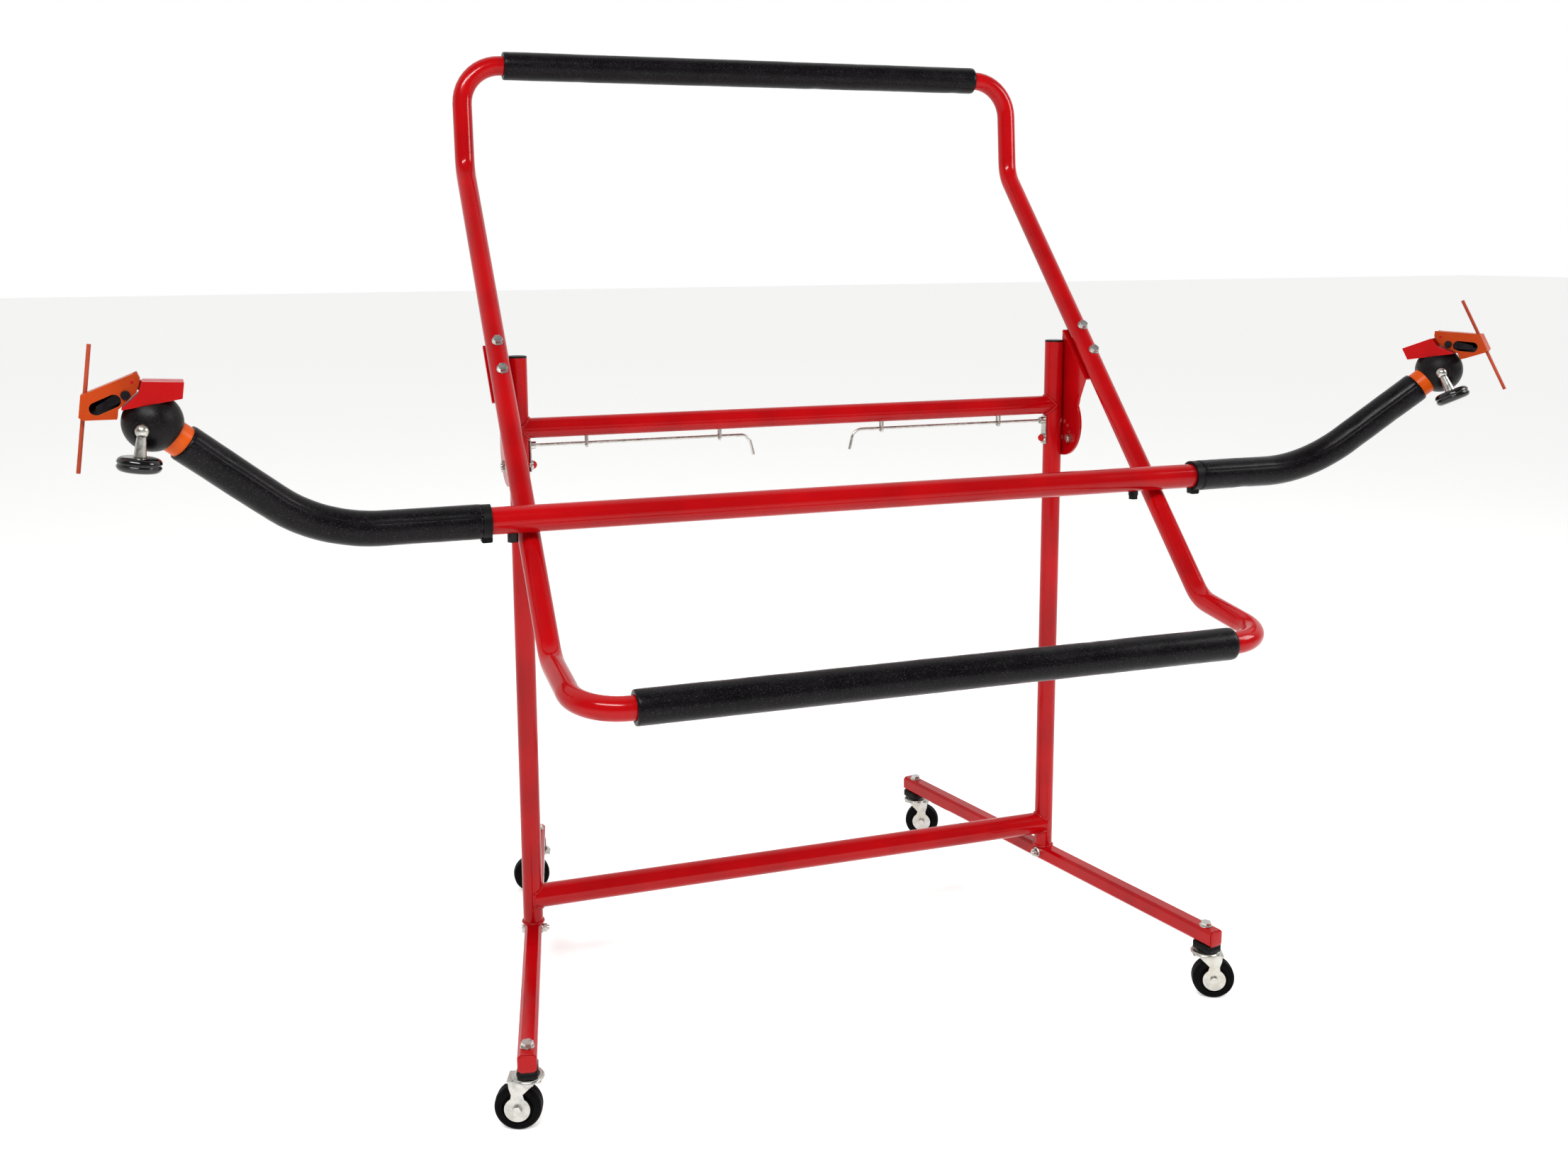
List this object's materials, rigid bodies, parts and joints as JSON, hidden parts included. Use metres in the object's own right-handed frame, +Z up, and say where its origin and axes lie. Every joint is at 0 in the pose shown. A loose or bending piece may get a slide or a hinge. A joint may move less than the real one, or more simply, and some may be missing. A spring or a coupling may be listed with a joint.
{
  "type": "bumper repair stand",
  "caption": "Wheeled tube stand with a tilting padded frame and two telescoping arms ending in edge clamps.",
  "frame": {"origin": "floor level, midway between the two uprights, under the pivots and crossbars", "axes": "+X to the stand's right seen from the front, -Y to the front where the lower pad is, +Z up"},
  "size_m": [2.0949, 1.0022, 1.529],
  "materials": {
    "red_powder_coat": "glossy powder coat",
    "black_plastic": "moulded, matt",
    "zinc_steel": "zinc plated",
    "red_plastic": "glossy",
    "black_foam": "closed cell foam skin",
    "orange_paint": "painted",
    "copper_paint": "painted",
    "black_steel": "black oxide",
    "tyre_rubber": "solid rubber"
  },
  "bodies": {
    "base": {"upright_left": "red_powder_coat", "upright_right": "red_powder_coat", "upright_caps": "black_plastic", "upper_crossbar": "red_powder_coat", "lower_crossbar": "red_powder_coat", "leg_left": "red_powder_coat", "leg_right": "red_powder_coat", "foot_sockets": "red_powder_coat", "foot_nuts": "zinc_steel", "caster_sockets": "black_plastic", "base_bolts": "zinc_steel", "rod_guides": "zinc_steel", "pivot_bolts": "zinc_steel", "pivot_caps": "red_plastic"},
    "tilt_frame": {"upper_hoop": "red_powder_coat", "lower_hoop": "red_powder_coat", "top_pad": "black_foam", "bottom_pad": "black_foam", "mid_bar": "red_powder_coat", "side_plate_left": "red_powder_coat", "side_plate_right": "red_powder_coat", "plate_bolts": "zinc_steel", "plate_nuts": "zinc_steel", "stop_bolts": "zinc_steel", "lock_collars": "black_plastic", "clamp_screws": "black_steel"},
    "lock_rod_left": {"lock_rod_left": "zinc_steel"},
    "arm_left": {"arm_tube_left": "red_powder_coat", "arm_foam_left": "black_foam", "arm_sleeve_left": "orange_paint"},
    "head_left": {"swivel_block_left": "black_plastic", "head_cover_left": "red_plastic", "clamp_stud_left": "zinc_steel"},
    "jaw_left": {"jaw_left": "orange_paint"},
    "lever_left": {"cam_lever_left": "black_steel"},
    "cross_rod_left": {"cross_rod_left": "copper_paint"},
    "knob_left": {"clamp_knob_left": "black_plastic"},
    "lock_rod_right": {"lock_rod_right": "zinc_steel"},
    "arm_right": {"arm_tube_right": "red_powder_coat", "arm_foam_right": "black_foam", "arm_sleeve_right": "orange_paint"},
    "head_right": {"swivel_block_right": "black_plastic", "head_cover_right": "red_plastic", "clamp_stud_right": "zinc_steel"},
    "jaw_right": {"jaw_right": "orange_paint"},
    "lever_right": {"cam_lever_right": "black_steel"},
    "cross_rod_right": {"cross_rod_right": "copper_paint"},
    "knob_right": {"clamp_knob_right": "black_plastic"},
    "caster_front_left": {"caster_fork_front_left": "zinc_steel", "caster_axle_front_left": "zinc_steel"},
    "wheel_front_left": {"caster_wheel_front_left": "tyre_rubber"},
    "caster_front_right": {"caster_fork_front_right": "zinc_steel", "caster_axle_front_right": "zinc_steel"},
    "wheel_front_right": {"caster_wheel_front_right": "tyre_rubber"},
    "caster_rear_left": {"caster_fork_rear_left": "zinc_steel", "caster_axle_rear_left": "zinc_steel"},
    "wheel_rear_left": {"caster_wheel_rear_left": "tyre_rubber"},
    "caster_rear_right": {"caster_fork_rear_right": "zinc_steel", "caster_axle_rear_right": "zinc_steel"},
    "wheel_rear_right": {"caster_wheel_rear_right": "tyre_rubber"}
  },
  "joints": [
    {"name": "frame_tilt", "type": "hinge", "parent": "base", "child": "tilt_frame", "pos_m": [0, 0, 0.87], "axis": [1, 0, 0], "range_deg": [-44, 44]},
    {"name": "lock_rod_slide_left", "type": "slide", "parent": "base", "child": "lock_rod_left", "axis": [-1, 0, 0], "range_m": [-0.02, 0.014]},
    {"name": "arm_slide_left", "type": "slide", "parent": "tilt_frame", "child": "arm_left", "axis": [-1, 0, 0], "range_m": [0, 0.1]},
    {"name": "head_swivel_left", "type": "hinge", "parent": "arm_left", "child": "head_left", "pos_m": [-0.97526, -0.3582, 0.99949], "axis": [-0.7314, -0.2882, 0.6181], "range_deg": [-90, 90]},
    {"name": "jaw_open_left", "type": "hinge", "parent": "head_left", "child": "jaw_left", "pos_m": [-0.99543, -0.35925, 1.04979], "axis": [-0.0523, 0.9986, 0], "range_deg": [0, 30]},
    {"name": "lever_cam_left", "type": "hinge", "parent": "jaw_left", "child": "lever_left", "pos_m": [-1.00359, -0.35968, 1.03478], "axis": [-0.0523, 0.9986, 0], "range_deg": [0, 12]},
    {"name": "cross_rod_slide_left", "type": "slide", "parent": "jaw_left", "child": "cross_rod_left", "axis": [0.139, 0.0073, 0.9903], "range_m": [-0.04, 0.03]},
    {"name": "knob_turn_left", "type": "hinge", "parent": "head_left", "child": "knob_left", "pos_m": [-0.99098, -0.39407, 0.95349], "axis": [0.139, 0.0073, 0.9903], "continuous": true},
    {"name": "lock_rod_slide_right", "type": "slide", "parent": "base", "child": "lock_rod_right", "axis": [1, 0, 0], "range_m": [-0.02, 0.014]},
    {"name": "arm_slide_right", "type": "slide", "parent": "tilt_frame", "child": "arm_right", "axis": [1, 0, 0], "range_m": [0, 0.1]},
    {"name": "head_swivel_right", "type": "hinge", "parent": "arm_right", "child": "head_right", "pos_m": [0.97526, -0.3582, 0.99949], "axis": [0.7314, -0.2882, 0.6181], "range_deg": [-90, 90]},
    {"name": "jaw_open_right", "type": "hinge", "parent": "head_right", "child": "jaw_right", "pos_m": [0.9767, -0.3605, 1.05363], "axis": [-0.848, -0.5299, 0], "range_deg": [0, 30]},
    {"name": "lever_cam_right", "type": "hinge", "parent": "jaw_right", "child": "lever_right", "pos_m": [0.98338, -0.3712, 1.04209], "axis": [-0.848, -0.5299, 0], "range_deg": [0, 12]},
    {"name": "cross_rod_slide_right", "type": "slide", "parent": "jaw_right", "child": "cross_rod_right", "axis": [-0.2406, 0.385, 0.891], "range_m": [-0.04, 0.03]},
    {"name": "knob_turn_right", "type": "hinge", "parent": "head_right", "child": "knob_right", "pos_m": [0.96232, -0.40354, 0.96172], "axis": [-0.2406, 0.385, 0.891], "continuous": true},
    {"name": "caster_swivel_front_left", "type": "hinge", "parent": "base", "child": "caster_front_left", "pos_m": [-0.54882, -0.38399, 0.077], "axis": [0, 0, 1], "continuous": true},
    {"name": "wheel_spin_front_left", "type": "hinge", "parent": "caster_front_left", "child": "wheel_front_left", "pos_m": [-0.56198, -0.37921, 0.033], "axis": [-0.342, -0.9397, 0], "continuous": true},
    {"name": "caster_swivel_front_right", "type": "hinge", "parent": "base", "child": "caster_front_right", "pos_m": [0.54882, -0.38399, 0.077], "axis": [0, 0, 1], "continuous": true},
    {"name": "wheel_spin_front_right", "type": "hinge", "parent": "caster_front_right", "child": "wheel_front_right", "pos_m": [0.56151, -0.38991, 0.033], "axis": [0.4226, 0.9063, 0], "continuous": true},
    {"name": "caster_swivel_rear_left", "type": "hinge", "parent": "base", "child": "caster_rear_left", "pos_m": [-0.39118, 0.38399, 0.077], "axis": [0, 0, 1], "continuous": true},
    {"name": "wheel_spin_rear_left", "type": "hinge", "parent": "caster_rear_left", "child": "wheel_rear_left", "pos_m": [-0.40512, 0.38521, 0.033], "axis": [-0.0872, -0.9962, 0], "continuous": true},
    {"name": "caster_swivel_rear_right", "type": "hinge", "parent": "base", "child": "caster_rear_right", "pos_m": [0.39118, 0.38399, 0.077], "axis": [0, 0, 1], "continuous": true},
    {"name": "wheel_spin_rear_right", "type": "hinge", "parent": "caster_rear_right", "child": "wheel_rear_right", "pos_m": [0.4033, 0.37699, 0.033], "axis": [0.5, 0.866, 0], "continuous": true}
  ]
}
